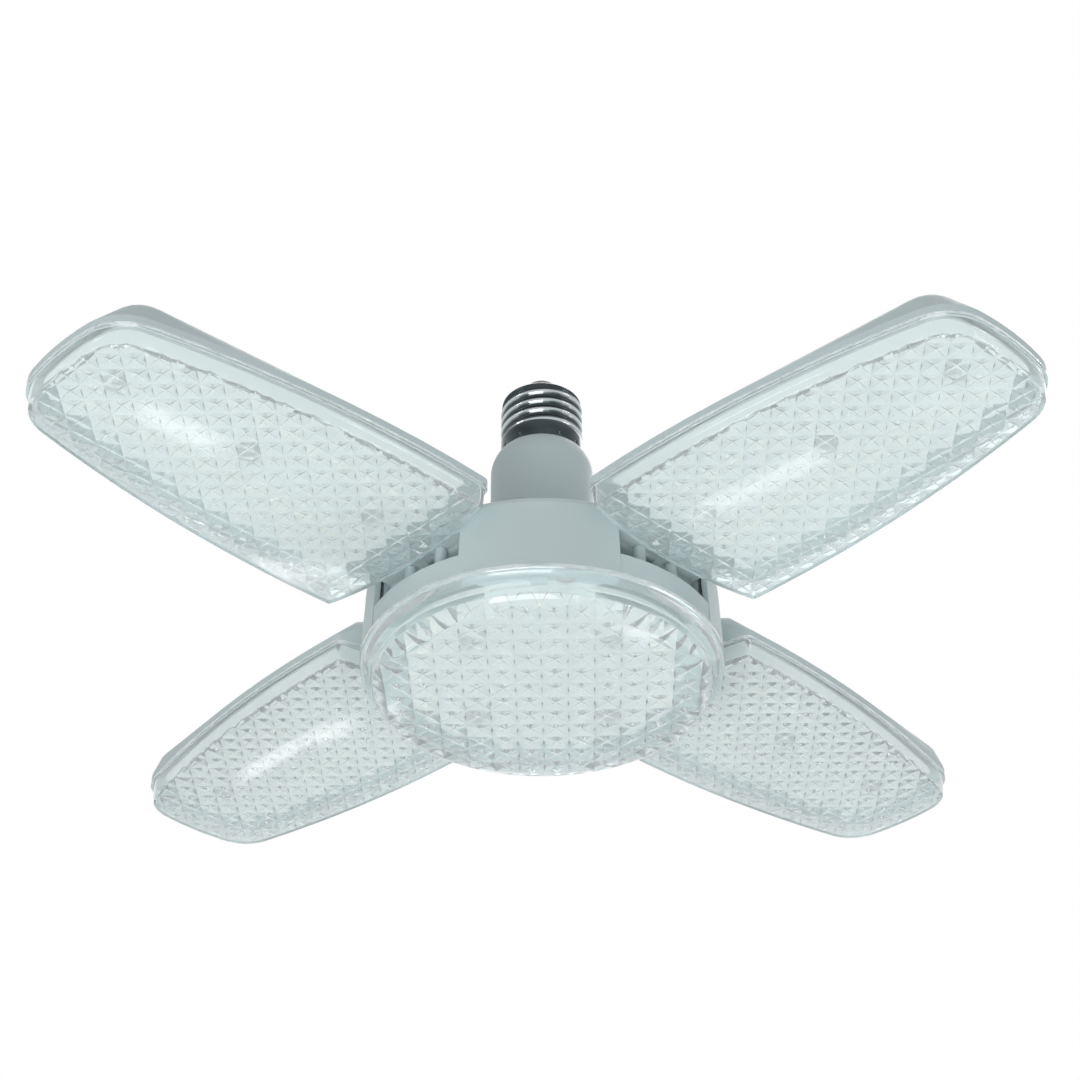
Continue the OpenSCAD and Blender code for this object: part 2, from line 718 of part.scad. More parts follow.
module blade_lens(i) {
    body_h = blade_lens_h - blade_flange_t;
    color(clear_plastic) at_blade(i) translate([0, 0, blade_level]) difference() {
        union() {
            slice(blade_outline(), -blade_flange_t, blade_flange_t);
            hull() {
                slice(blade_outline(lens_lip), -blade_flange_t, hull_slice);
                slice(blade_outline(lens_lip + 0.4), -blade_flange_t - 0.8 * body_h);
                slice(blade_outline(lens_lip + 1.5), -blade_lens_h);
            }
        }
        hull() {
            slice(blade_outline(lens_lip + blade_lens_t), 0, 1);
            slice(blade_outline(lens_lip + 0.4 + blade_lens_t), -blade_flange_t - 0.7 * body_h);
            slice(blade_outline(lens_lip + 1.5 + blade_lens_t), -blade_lens_h + blade_lens_t);
        }
    }
}

module blade_board(i) {
    color(board_white) at_blade(i) translate([0, 0, blade_level + board_lift]) difference() {
        slice(blade_outline(board_margin), 0, blade_board_t);
        for (p = blade_screw_places) translate([p.x, p.y, -1])
            cylinder(d = screw_d + 2 * screw_play, h = blade_board_t + 2);
    }
}

module blade_leds(i) {
    first = blade_in + board_margin + 8;
    last = blade_tip - board_margin - 14;
    color(led_yellow) at_blade(i) for (k = [0:led_columns - 1], s = [-1, 1])
        translate([first + (last - first) * k / (led_columns - 1), s * led_row,
                blade_level + board_lift - led_t]) led();
}

module blade_screws(i) {
    color(steel) at_blade(i) for (p = blade_screw_places)
        translate([p.x, p.y, blade_level + board_lift]) screw(blade_board_t + 4);
}

// The bracket that lines a slot: two cheeks that carry the pin, and the wall between them
module hinge_bracket(i) {
    color(white_plastic) at_blade(i) difference() {
        intersection() {
            translate([slot_in - wall, -cheek_end, base_t]) cube([hub_r, 2 * cheek_end, bracket_h]);
            cylinder(r = top_r - wall - corner - gap / 2, h = hub_h);
        }
        translate([slot_in, -slot_w / 2, 0]) cube([hub_r, slot_w, hub_h]);
        along_pin(pin_d + 2 * pin_seat, -pocket_end, pocket_end);
        translate([hinge_at - pin_d / 2 - pin_seat, -pocket_end, 0])
            cube([pin_d + 2 * pin_seat, 2 * pocket_end, hinge_level]);
    }
}

module hinge_pin(i) {
    color(steel) at_blade(i) along_pin(pin_d, -pocket_end + gap / 2, pocket_end - gap / 2);
}

module friction_washers(i) {
    color(steel) at_blade(i) for (s = [-1, 1]) {
        low = s < 0 ? -knuckle_end - 0.05 - washer_t : knuckle_end + 0.05;
        difference() {
            along_pin(washer_d, low, low + washer_t);
            along_pin(pin_d + 2 * pin_play, low - 1, low + washer_t + 1);
        }
    }
}

screw_shell();
cap_insulator();
centre_contact();
contact_lead();
shell_lead();
neck_housing();
base_plate();
base_screws();
pin_blocks();
stop_pegs();
centre_board();
centre_leds();
board_screws();
centre_lens();
driver_board();
transformer();
capacitor();
rectifier();
fuse();
driver_leads();
for (i = [1:4]) blade_shell(i);
for (i = [1:4]) blade_lens(i);
for (i = [1:4]) blade_board(i);
for (i = [1:4]) blade_leds(i);
for (i = [1:4]) blade_screws(i);
for (i = [1:4]) hinge_bracket(i);
for (i = [1:4]) hinge_pin(i);
for (i = [1:4]) friction_washers(i);
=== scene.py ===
"""Looks of a folding four-blade LED light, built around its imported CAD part.

Sizes are in millimetres unless a comment says otherwise. Every mesh is made in millimetres and
scaled to metres when its object is made.
"""
import json
import math

import bmesh
import bpy
from mathutils import Matrix, Vector


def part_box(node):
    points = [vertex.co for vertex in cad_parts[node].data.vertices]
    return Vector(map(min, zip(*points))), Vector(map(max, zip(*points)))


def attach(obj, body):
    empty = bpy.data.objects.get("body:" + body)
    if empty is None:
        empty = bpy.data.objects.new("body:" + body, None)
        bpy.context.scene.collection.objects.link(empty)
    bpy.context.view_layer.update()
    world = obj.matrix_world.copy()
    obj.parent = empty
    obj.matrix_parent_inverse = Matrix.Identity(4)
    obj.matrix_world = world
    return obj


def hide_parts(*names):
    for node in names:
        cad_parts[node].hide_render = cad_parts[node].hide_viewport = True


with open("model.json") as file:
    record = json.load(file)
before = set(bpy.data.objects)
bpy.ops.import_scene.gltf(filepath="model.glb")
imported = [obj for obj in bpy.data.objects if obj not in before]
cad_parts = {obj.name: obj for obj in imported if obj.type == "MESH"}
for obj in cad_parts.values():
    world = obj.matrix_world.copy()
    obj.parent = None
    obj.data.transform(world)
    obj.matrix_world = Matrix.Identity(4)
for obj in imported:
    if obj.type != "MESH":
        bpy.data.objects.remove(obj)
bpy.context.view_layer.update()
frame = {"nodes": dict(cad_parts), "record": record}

MM = 0.001
# Heights from the origin: the rim, where the round lens meets the hub, the neck's lip, where the
# cap starts, and the plane where a blade's lens meets its shell
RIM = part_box("centre_board")[1].z / MM
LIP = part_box("screw_shell")[0].z / MM
BLADE_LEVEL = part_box("blade_lens_1")[1].z / MM
# Direction of each blade from +X
BLADE_TURNS = {i: math.radians(90 * i - 45) for i in (1, 2, 3, 4)}

# The camera that the photograph was fitted to: its angles in degrees, and how far the middle of
# the rim lies in front of it, aside and down from its axis
CAMERA = {"focal_px": 2257, "distance": 671.1, "rise": 35.58, "roll": -0.11, "turn": -0.93,
          "aside": 0.68, "down": 37.97}
PHOTO_PX = 1080
SENSOR = 36

# Outline of a blade, as in part.scad
TIP, HALF_W, WIDEST, SIDE_R = 174.8, 35.3, 72.7, 395
TIP_R, TIP_CORNER, BLADE_IN, INNER_R, INNER_CORNER = 92, 14.3, 49.7, 140, 2.8
# Blade lens, as in part.scad
BLADE_LENS_H, BLADE_FLANGE, LENS_LIP, BLADE_LENS_T = 7.4, 1.1, 0.8, 1.5
# Its rounded lower edge: where the flat face starts from the wall, width and height of the round
EDGE_IN, EDGE_W, EDGE_H = 1.5, 1.1, 1.26
# Its inner corner: width of the round, heights of its foot and top, and the prisms' gap to the wall
CORNER_W, CORNER_FOOT, CORNER_TOP, PRISM_GAP = 0.15, 0.1, 0.4, 0.3

# Round lens, as in part.scad
HUB_R, LENS_H, CROWN, LENS_FLANGE, LENS_STEP, LENS_DRAFT, LENS_EDGE, LENS_T = (
    54.2, 10.1, 0.7, 1.4, 1.1, 2.2, 5, 1.6)
# How far its prisms climb the rounded edge, their gap to the wall, and how far down the inside of
# the wall is upright
PRISM_CLIMB, CLIMB_GAP, UPRIGHT = 3.1, 0.1, 3
# Circles that its crown is drawn with, as shares of the crown's radius
CROWN_STEPS = (0.97, 0.85, 0.7, 0.55, 0.4, 0.25, 0.1)

# Bevel of both lenses' flanges, and the small round between flange and wall
BEVEL, FOOT_W, FOOT_H = 0.25, 0.1, 0.15

# Prisms on the inside of the lenses: pitch and height of a pyramid, depths of the grooves along Y
# and along X, half width of the grooves, rise of the apex above the faces, and half width of the
# ridges that run down from it to the corners
BLADE_PRISM = {"pitch": 6.2, "height": 0.38, "groove_y": 0.2, "groove_x": 0.02, "groove_w": 0.4,
               "ridge": 0.35, "ridge_w": 0.7}
ROUND_PRISM = {"pitch": 7.7, "height": 0.48, "groove_y": 0.25, "groove_x": 0.02, "groove_w": 0.5,
               "ridge": 0.44, "ridge_w": 0.85}

# Screw cap, as in part.scad
CREST_R, THREAD_DEPTH, PITCH, TURNS, SKIRT_H = 13.1, 0.95, 3.63, 4, 6.8
SKIRT_R, SHOULDER_H, SHELL_T, CAP_HOLE_R = CREST_R - 0.1, 2.6, 0.55, 6.5
THREAD_LOW = LIP + SKIRT_H
THREAD_TOP = THREAD_LOW + TURNS * PITCH
# Its rounded shoulder: how far it has drawn in at each share of its height
SHOULDER = ((0.2, 0.2), (0.6, 0.42), (1.3, 0.6), (2.1, 0.78), (3, 0.9))
# Inside: drop from the shoulder to the wall, width and height of the step to the skirt
SHOULDER_DROP, STEP_W, STEP_H = 0.5, 0.4, 0.9
# Rows of the skirt: fine ones up to the top of the punch marks, and the rest
PUNCH_ROWS, PUNCH_ROW_H, SKIRT_ROWS, LAST_ROW = 14, 0.25, (4, 5.2), 0.5
CAP_SIDES, ROWS_PER_TURN = 288, 20
# Punch marks that hold the cap to the neck: number, direction of the first, height and size
PUNCHES, PUNCH_TURN, PUNCH_Z, PUNCH_R, PUNCH_DEPTH = 12, math.radians(-91.3), 1.7, 0.45, 0.3


# ---------- Meshes ----------

def add_object(name, data):
    piece = bpy.data.objects.new(name, data)
    bpy.context.scene.collection.objects.link(piece)
    return piece


def make_mesh(name, bm, material):
    mesh = bpy.data.meshes.new(name)
    bm.to_mesh(mesh)
    bm.free()
    mesh.materials.append(material)
    return mesh


def make_piece(name, bm, slot, sharp=28, turn=0.0, lift=0.0):
    """A piece from a mesh in millimetres, turned about Z and lifted. Edges sharper than sharp,
    in degrees, stay sharp."""
    bmesh.ops.recalc_face_normals(bm, faces=bm.faces)
    place = Matrix.Translation((0, 0, lift)) @ Matrix.Rotation(turn, 4, "Z")
    bm.transform(Matrix.Scale(MM, 4) @ place)
    mesh = make_mesh(name, bm, materials[slot])
    mesh.set_sharp_from_angle(angle=math.radians(sharp))
    piece = add_object(name, mesh)
    return piece


def loft(bm, rings, closed=False):
    """Quads between rings of equally many points; closed joins the last ring to the first."""
    rows = [[bm.verts.new(p) for p in ring] for ring in rings]
    pairs = list(zip(rows, rows[1:])) + ([(rows[-1], rows[0])] if closed else [])
    for low, high in pairs:
        for k in range(len(low)):
            n = (k + 1) % len(low)
            bm.faces.new((low[k], low[n], high[n], high[k])).smooth = True
    return rows


def circle(radius, z, sides=192):
    angles = [2 * math.pi * k / sides for k in range(sides)]
    return [(radius * math.cos(a), radius * math.sin(a), z) for a in angles]


def arc(centre, radius, start, end, steps):
    """Points of an arc after its first one, angles in radians."""
    angles = [start + (end - start) * k / steps for k in range(1, steps + 1)]
    return [Vector((centre.x + radius * math.cos(a), centre.y + radius * math.sin(a)))
            for a in angles]


def heading(start, end):
    return math.atan2(end.y - start.y, end.x - start.x)


def meeting(a, ra, b, rb):
    """The point at distance ra from a and rb from b, on the left of the line from a to b."""
    d = (b - a).length
    along = (ra * ra - rb * rb + d * d) / (2 * d)
    across = math.sqrt(ra * ra - along * along)
    e = (b - a) / d
    return a + along * e + across * Vector((-e.y, e.x))


def blade_outline(inset, z):
    """The outline of a blade along +X, drawn in by inset, as a ring of points at height z."""
    side_c, tip_c = Vector((WIDEST, HALF_W - SIDE_R)), Vector((TIP - TIP_R, 0))
    inner_c = Vector((BLADE_IN + INNER_R, 0))
    inner_r = max(INNER_CORNER, inset + 1)
    outer = meeting(tip_c, TIP_R - TIP_CORNER, side_c, SIDE_R - TIP_CORNER)
    inner = meeting(side_c, SIDE_R - inner_r, inner_c, INNER_R - inner_r)
    a_tip, a_side = heading(tip_c, outer), heading(side_c, outer)
    a_inner, a_end = heading(side_c, inner), heading(inner_c, inner)
    half = ([Vector((TIP - inset, 0))]
            + arc(tip_c, TIP_R - inset, 0, a_tip, 8)
            + arc(outer, TIP_CORNER - inset, a_tip, a_side, 14)
            + arc(side_c, SIDE_R - inset, a_side, a_inner, 30)
            + arc(inner, inner_r - inset, a_inner, a_end, 8)
            + arc(inner_c, INNER_R - inset, a_end, math.pi, 10))
    return [(p.x, p.y, z) for p in half] + [(p.x, -p.y, z) for p in half[-2:0:-1]]


def prism_cell(pitch, height, groove_y, groove_x, groove_w, ridge, ridge_w):
    """Triangles of one pyramid about its middle, with needle-shaped grooves along its sides and
    ridges from its corners up to a raised apex."""
    half, slope = pitch / 2, 2 * height / pitch
    low, high, apex = (half, -half, 0), (half, half, 0), (0, 0, height + ridge)
    by_groove = (half - groove_w, 0, slope * groove_w)
    by_ridge = (ridge_w, 0, height - slope * ridge_w)
    quarter_turns = ((1, 0, groove_y), (0, 1, groove_x), (-1, 0, groove_y), (0, -1, groove_x))
    cell = []
    for c, s, groove in quarter_turns:
        middle = (half, 0, -groove)
        side = [(low, by_groove, by_ridge), (by_groove, high, by_ridge), (low, middle, by_groove),
                (middle, high, by_groove), (low, by_ridge, apex), (high, apex, by_ridge)]
        cell += [[(x * c - y * s, x * s + y * c, z) for x, y, z in triangle] for triangle in side]
    return cell


def clip(polygon, outline):
    """The part of a polygon inside a convex outline that runs anticlockwise."""
    for start, end in zip(outline, outline[1:] + outline[:1]):
        along = (end[0] - start[0], end[1] - start[1])
        depths = [along[0] * (p[1] - start[1]) - along[1] * (p[0] - start[0]) for p in polygon]
        if min(depths) >= 0:
            continue
        kept = []
        for k, (p, d) in enumerate(zip(polygon, depths)):
            q, e = polygon[(k + 1) % len(polygon)], depths[(k + 1) % len(polygon)]
            if d >= 0:
                kept.append(p)
            if d * e < 0:
                kept.append(tuple(a + (b - a) * d / (d - e) for a, b in zip(p, q)))
        polygon = kept
        if len(polygon) < 3:
            return []
    return polygon


def add_prisms(bm, row, outline, floor, prism, turn=0.0):
    """Covers the floor inside an outline with prisms, whose rows are turned about Z, and joins
    them to a row of vertices around it. floor(x, y) is the floor's height."""
    pitch = prism["pitch"]
    cell = prism_cell(**prism)
    grid = [Matrix.Rotation(-turn, 2) @ Vector(p[:2]) / pitch for p in outline]
    columns, lines = ([p.x for p in grid], [p.y for p in grid])
    faces = []
    for i in range(math.floor(min(columns)), math.ceil(max(columns))):
        for j in range(math.floor(min(lines)), math.ceil(max(lines))):
            middle = ((i + 0.5) * pitch, (j + 0.5) * pitch, 0)
            place = Matrix.Rotation(turn, 4, "Z") @ Matrix.Translation(middle)
            for triangle in cell:
                shape = clip([tuple(place @ Vector(p)) for p in triangle], outline)
                if shape:
                    corners = [bm.verts.new((x, y, z + floor(x, y))) for x, y, z in shape]
                    faces.append(bm.faces.new(corners))
    bmesh.ops.remove_doubles(bm, verts=list({v for f in faces for v in f.verts}), dist=1e-4)
    # A low wall from the prisms' cut edges down to the floor, and a flat band from it to the row
    rim = [e for e in bm.edges if e.is_boundary and e.verts[0] not in row]
    wall = bmesh.ops.extrude_edge_only(bm, edges=rim)["geom"]
    for v in (g for g in wall if isinstance(g, bmesh.types.BMVert)):
        v.co.z = floor(v.co.x, v.co.y)
    foot = [g for g in wall if isinstance(g, bmesh.types.BMEdge) and g.is_boundary]
    around = [e for e in bm.edges if e.is_boundary and e.verts[0] in row]
    bmesh.ops.triangle_fill(bm, edges=foot + around, normal=(0, 0, 1))


def blade_lens_mesh(grid_turn):
    """The lens of a blade along +X, with heights from the plane where it meets the shell. The
    rows of its prisms are turned about Z by grid_turn."""
    low, wall = -BLADE_LENS_H, LENS_LIP + BLADE_LENS_T
    floor = low + BLADE_LENS_T
    angles = [math.radians(a) for a in range(0, 91, 15)]
    edge = [(EDGE_IN - EDGE_W * math.sin(a), EDGE_H * (1 - math.cos(a))) for a in angles]
    outside = ([(0, 0), (0, BEVEL - BLADE_FLANGE), (BEVEL, -BLADE_FLANGE),
                (LENS_LIP - FOOT_W, -BLADE_FLANGE), (LENS_LIP, -BLADE_FLANGE - FOOT_H)]
               + [(LENS_LIP + i, low + z) for i, z in reversed(edge)])
    inside = [(wall + CORNER_W, floor + CORNER_FOOT), (wall, floor + CORNER_TOP), (wall, 0)]
    bm = bmesh.new()
    rows = loft(bm, [blade_outline(i, z) for i, z in inside + outside])
    bm.faces.new(rows[-1]).smooth = True
    prism_outline = blade_outline(wall + PRISM_GAP, 0)
    add_prisms(bm, rows[0], prism_outline, lambda x, y: floor, BLADE_PRISM, grid_turn)
    return bm


def round_lens_mesh():
    """The lens under the hub, heights from the rim."""
    wall_top = HUB_R - LENS_STEP
    wall_low, low = wall_top - LENS_DRAFT, -LENS_H
    flat_r = wall_low - LENS_EDGE
    prism_r = flat_r + PRISM_CLIMB
    wall_in = wall_top - LENS_T

    def crown(r):
        return low - CROWN * (1 - (r / flat_r) ** 2)

    def floor(x, y):
        r, inner = math.hypot(x, y), LENS_EDGE - LENS_T
        if r < flat_r:
            return crown(r) + LENS_T
        return low + LENS_EDGE - math.sqrt(inner ** 2 - (r - flat_r) ** 2)

    angles = [math.radians(a) for a in range(0, -86, -8)]
    outside = [(HUB_R, 0), (HUB_R, BEVEL - LENS_FLANGE), (HUB_R - BEVEL, -LENS_FLANGE),
               (wall_top + FOOT_W, -LENS_FLANGE), (wall_top, -LENS_FLANGE - FOOT_H)]
    outside += [(flat_r + LENS_EDGE * math.cos(a), low + LENS_EDGE + LENS_EDGE * math.sin(a))
                for a in angles]
    outside += [(flat_r * s, crown(flat_r * s)) for s in CROWN_STEPS]
    foot = prism_r + CLIMB_GAP
    inside = [(foot, floor(foot, 0)), (wall_low - LENS_T, low + LENS_EDGE), (wall_in, -UPRIGHT),
              (wall_in, 0)]
    bm = bmesh.new()
    rows = loft(bm, [circle(r, z) for r, z in inside + outside])
    bm.faces.new(rows[-1]).smooth = True
    add_prisms(bm, rows[0], circle(prism_r, 0, sides=96), floor, ROUND_PRISM)
    return bm


def thread_radius(z, angle):
    """Radius of the rolled thread at height z from the origin. It fades in and out over half a
    turn."""
    fade = max(0.0, min(1.0, min(z - THREAD_LOW, THREAD_TOP - z) / (PITCH / 2)))
    wave = math.cos(2 * math.pi * z / PITCH - angle)
    return CREST_R - THREAD_DEPTH + THREAD_DEPTH * (1 + fade * wave) / 2


def skirt_radius(z, angle):
    """Radius of the skirt at height z from the origin, with its punch marks."""
    spacing = 2 * math.pi / PUNCHES
    turn = (angle - PUNCH_TURN + spacing / 2) % spacing - spacing / 2
    distance = (CREST_R * turn) ** 2 + (z - LIP - PUNCH_Z) ** 2
    return SKIRT_R - PUNCH_DEPTH * math.exp(-distance / (2 * PUNCH_R ** 2))


def screw_shell_mesh():
    """The rolled cap, heights from the origin."""
    angles = [2 * math.pi * k / CAP_SIDES for k in range(CAP_SIDES)]
    root = CREST_R - THREAD_DEPTH
    hole_top = THREAD_TOP + SHOULDER_H
    count = ROWS_PER_TURN * TURNS
    skirt_rows = ([LIP + PUNCH_ROW_H * k for k in range(1, PUNCH_ROWS + 1)]
                  + [LIP + h for h in SKIRT_ROWS] + [THREAD_LOW - LAST_ROW])
    thread_rows = [THREAD_LOW + (THREAD_TOP - THREAD_LOW) * k / count for k in range(count + 1)]
    rings = [circle(SKIRT_R - SHELL_T, LIP, CAP_SIDES), circle(SKIRT_R, LIP, CAP_SIDES)]
    for radius, heights in ((skirt_radius, skirt_rows), (thread_radius, thread_rows)):
        rings += [[(radius(z, a) * math.cos(a), radius(z, a) * math.sin(a), z) for a in angles]
                  for z in heights]
    top_and_inside = [(root - inset, THREAD_TOP + h * SHOULDER_H) for inset, h in SHOULDER]
    top_and_inside += [(CAP_HOLE_R, hole_top), (CAP_HOLE_R, hole_top - SHELL_T),
                       (root - SHELL_T, THREAD_TOP - SHOULDER_DROP), (root - SHELL_T, THREAD_LOW),
                       (SKIRT_R - SHELL_T - STEP_W, THREAD_LOW - STEP_H)]
    rings += [circle(r, z, CAP_SIDES) for r, z in top_and_inside]
    bm = bmesh.new()
    loft(bm, rings, closed=True)
    return bm


# ---------- Materials ----------

def new_material(name, color, roughness, metallic=0.0):
    """A material with a Principled shader, and its node tree's parts."""
    material = bpy.data.materials.new(name)
    material.use_nodes = True
    nodes, links = material.node_tree.nodes, material.node_tree.links
    shader = nodes["Principled BSDF"]
    shader.inputs["Base Color"].default_value = (*color, 1)
    shader.inputs["Roughness"].default_value = roughness
    shader.inputs["Metallic"].default_value = metallic
    return material, nodes, links, shader


def noise(nodes, links, scale, detail, stretch=(1, 1, 1)):
    """A noise's output, sampled in object coordinates; scale is in cycles per metre."""
    place = nodes.new("ShaderNodeTexCoord")
    mapping = nodes.new("ShaderNodeMapping")
    mapping.inputs["Scale"].default_value = stretch
    texture = nodes.new("ShaderNodeTexNoise")
    texture.inputs["Scale"].default_value = scale
    texture.inputs["Detail"].default_value = detail
    links.new(place.outputs["Object"], mapping.inputs["Vector"])
    links.new(mapping.outputs["Vector"], texture.inputs["Vector"])
    return texture.outputs["Fac"]


def ramp(nodes, links, source, stops):
    """A colour ramp over source; stops are (place, colour)."""
    node = nodes.new("ShaderNodeValToRGB")
    while len(node.color_ramp.elements) < len(stops):
        node.color_ramp.elements.new(0.5)
    for element, (place, color) in zip(node.color_ramp.elements, stops):
        element.position = place
        element.color = (*color, 1)
    links.new(source, node.inputs["Fac"])
    return node.outputs["Color"]


def blend(nodes, links, source, low, high):
    """From one colour to another over the range where most of a noise's values lie."""
    return ramp(nodes, links, source, [(0.3, low), (0.7, high)])


def bump(nodes, links, source, height):
    """A bump whose full height is in millimetres."""
    node = nodes.new("ShaderNodeBump")
    node.inputs["Distance"].default_value = height * MM
    links.new(source, node.inputs["Height"])
    return node.outputs["Normal"]


def math_node(nodes, links, operation, first, second=0):
    """A math node's output; each input is a number or another node's output."""
    node = nodes.new("ShaderNodeMath")
    node.operation = operation
    for socket, value in zip(node.inputs, (first, second)):
        if isinstance(value, (int, float)):
            socket.default_value = value
        else:
            links.new(value, socket)
    return node.outputs[0]


def mix_shaders(nodes, links, factor, first, second):
    """The first shader where factor is 0 and the second where it is 1."""
    mix = nodes.new("ShaderNodeMixShader")
    for socket, source in zip(mix.inputs, (factor, first, second)):
        links.new(source, socket)
    return mix.outputs["Shader"]


def shades(color, spread):
    """Two shades of a colour, spread apart."""
    return [tuple(c * (1 - spread) for c in color), tuple(min(1, c * (1 + spread)) for c in color)]


def surface(nodes, links, shader, source, least, most, height):
    """Varies a shader's roughness from least to most over a noise, with a bump."""
    links.new(blend(nodes, links, source, (least,) * 3, (most,) * 3), shader.inputs["Roughness"])
    links.new(bump(nodes, links, source, height), shader.inputs["Normal"])


def moulded(name, color, roughness, spread, grain, grain_height, specular=0.5):
    """Moulded or coated material: slow changes of shade, and a fine grain."""
    material, nodes, links, shader = new_material(name, color, roughness)
    cloud = noise(nodes, links, scale=18, detail=3)
    links.new(blend(nodes, links, cloud, *shades(color, spread)), shader.inputs["Base Color"])
    fine = noise(nodes, links, scale=grain, detail=2)
    surface(nodes, links, shader, fine, roughness * 0.9, roughness * 1.1, grain_height)
    shader.inputs["Specular IOR Level"].default_value = specular
    return material


def rolling_marks(nodes, links, shader, roughness, stretch):
    marks = noise(nodes, links, scale=400, detail=3, stretch=stretch)
    surface(nodes, links, shader, marks, roughness * 0.75, roughness * 1.3, height=0.006)


def metal(name, color, roughness, spread, stretch=(1, 1, 1)):
    """Plated or bare metal with cloudy tarnish and fine rolling or turning marks."""
    material, nodes, links, shader = new_material(name, color, roughness, metallic=1)
    tarnish = noise(nodes, links, scale=120, detail=5)
    links.new(blend(nodes, links, tarnish, *shades(color, spread)), shader.inputs["Base Color"])
    rolling_marks(nodes, links, shader, roughness, stretch)
    return material


def rolled_nickel(dark, painted_highlight_color, roughness):
    """Dark nickel with a painted highlight: a bright band just below each crest of the thread,
    whose crests are followed in object coordinates."""
    material, nodes, links, shader = new_material("cap_metal", dark, roughness, metallic=1)
    # How far the edges of the painted highlight band stray, in turns, and how far below the
    #     thread's top the band ends
    stray, band_end = 0.16, 0.4

    def calc(operation, first, second=0):
        return math_node(nodes, links, operation, first, second)

    axes = nodes.new("ShaderNodeSeparateXYZ")
    links.new(nodes.new("ShaderNodeTexCoord").outputs["Object"], axes.inputs[0])
    height = axes.outputs["Z"]
    turn = calc("MULTIPLY", calc("ARCTAN2", axes.outputs["Y"], axes.outputs["X"]),
                1 / (2 * math.pi))
    # 0 and 1 on a crest, rising with the height
    phase = calc("FRACT", calc("SUBTRACT", calc("MULTIPLY", height, 1 / (PITCH * MM)), turn))
    # Noise that makes the edges of the painted highlight stray
    highlight_edge_noise = calc("MULTIPLY", noise(nodes, links, scale=160, detail=4), stray)
    band = calc("ADD", phase, calc("SUBTRACT", highlight_edge_noise, stray / 2))
    # Painted highlight across the thread: bright just below each crest, a painted in-between shade
    # on the crest and at the band's lower edge, and plain dark nickel in the roots
    half = tuple((a + b) / 3 for a, b in zip(dark, painted_highlight_color))
    thread = ramp(nodes, links, band, [(0.0, half), (0.1, dark), (0.62, dark), (0.74, half),
                                       (0.82, painted_highlight_color), (0.93, painted_highlight_color)])
    above = calc("GREATER_THAN", height, THREAD_LOW * MM)
    below = calc("LESS_THAN", height, (THREAD_LOW + (TURNS - band_end) * PITCH) * MM)
    cloud = noise(nodes, links, scale=90, detail=4, stretch=(1, 1, 2))
    plain = blend(nodes, links, cloud, tuple(c * 0.7 for c in dark), tuple(c * 1.4 for c in dark))
    mix = nodes.new("ShaderNodeMix")
    mix.data_type = "RGBA"
    links.new(calc("MULTIPLY", above, below), mix.inputs["Factor"])
    links.new(plain, mix.inputs["A"])
    links.new(thread, mix.inputs["B"])
    links.new(mix.outputs["Result"], shader.inputs["Base Color"])
    rolling_marks(nodes, links, shader, roughness, (1, 1, 6))
    return material


def clear_plastic():
    """Clear moulded plastic. Shadow rays pass straight through, so lamps reach what is behind."""
    color = (0.80, 0.848, 0.852)
    material, nodes, links, shader = new_material("clear_lens", color, 0.08)
    cloud = noise(nodes, links, scale=25, detail=3)
    links.new(blend(nodes, links, cloud, *shades(color, 0.012)), shader.inputs["Base Color"])
    shader.inputs["Transmission Weight"].default_value = 0.85
    shader.inputs["IOR"].default_value = 1.49
    ripple = noise(nodes, links, scale=60, detail=2)
    links.new(bump(nodes, links, ripple, 0.02), shader.inputs["Normal"])
    through = nodes.new("ShaderNodeBsdfTransparent")
    through.inputs["Color"].default_value = (0.93, 0.96, 0.955, 1)
    path = nodes.new("ShaderNodeLightPath")
    both = mix_shaders(nodes, links, path.outputs["Is Shadow Ray"], shader.outputs["BSDF"],
                       through.outputs["BSDF"])
    links.new(both, nodes["Material Output"].inputs["Surface"])
    return material


MOULDED = {
    # Colour, roughness, spread of its shades, grain in cycles per metre and height of the grain
    "cap_insulation": ((0.03, 0.03, 0.035), 0.25, 0.2, 300, 0.01),
    "board_white": ((0.84, 0.87, 0.86), 0.4, 0.02, 700, 0.008),
    "led_phosphor": ((0.90, 0.90, 0.84), 0.5, 0.04, 2000, 0.01),
    "board_green": ((0.03, 0.14, 0.05), 0.35, 0.15, 500, 0.01),
    "winding_tape": ((0.72, 0.52, 0.06), 0.35, 0.08, 300, 0.02),
    "capacitor_sleeve": ((0.015, 0.02, 0.06), 0.28, 0.15, 400, 0.008),
    "black_epoxy": ((0.012, 0.012, 0.012), 0.5, 0.2, 1500, 0.01),
    "fuse_body": ((0.42, 0.30, 0.18), 0.45, 0.1, 600, 0.01),
    "lead_red": ((0.42, 0.015, 0.012), 0.4, 0.08, 900, 0.006),
    "lead_blue": ((0.015, 0.06, 0.33), 0.4, 0.08, 900, 0.006),
    "lead_yellow": ((0.66, 0.42, 0.02), 0.4, 0.08, 900, 0.006),
    # The housing also has a weaker gloss
    "housing_plastic": ((0.565, 0.66, 0.665), 0.45, 0.02, 1400, 0.012, 0.25),
}
materials = {slot: moulded(slot, *look) for slot, look in MOULDED.items()}
materials["clear_lens"] = clear_plastic()
# Dark nickel, and the colour of the highlight painted just below the thread's crests
materials["cap_metal"] = rolled_nickel((0.04, 0.052, 0.056), (0.48, 0.53, 0.54), 0.12)
materials["contact_metal"] = metal("contact_metal", (0.22, 0.22, 0.22), 0.25, 0.12)
materials["steel"] = metal("steel", (0.72, 0.73, 0.74), 0.36, 0.06, (1, 1, 6))

for part in frame["record"]["subparts"]:
    node = frame["nodes"][part["node"]]
    node.data.materials.clear()
    node.data.materials.append(materials[part["material_slot"]])

# ---------- Pieces ----------

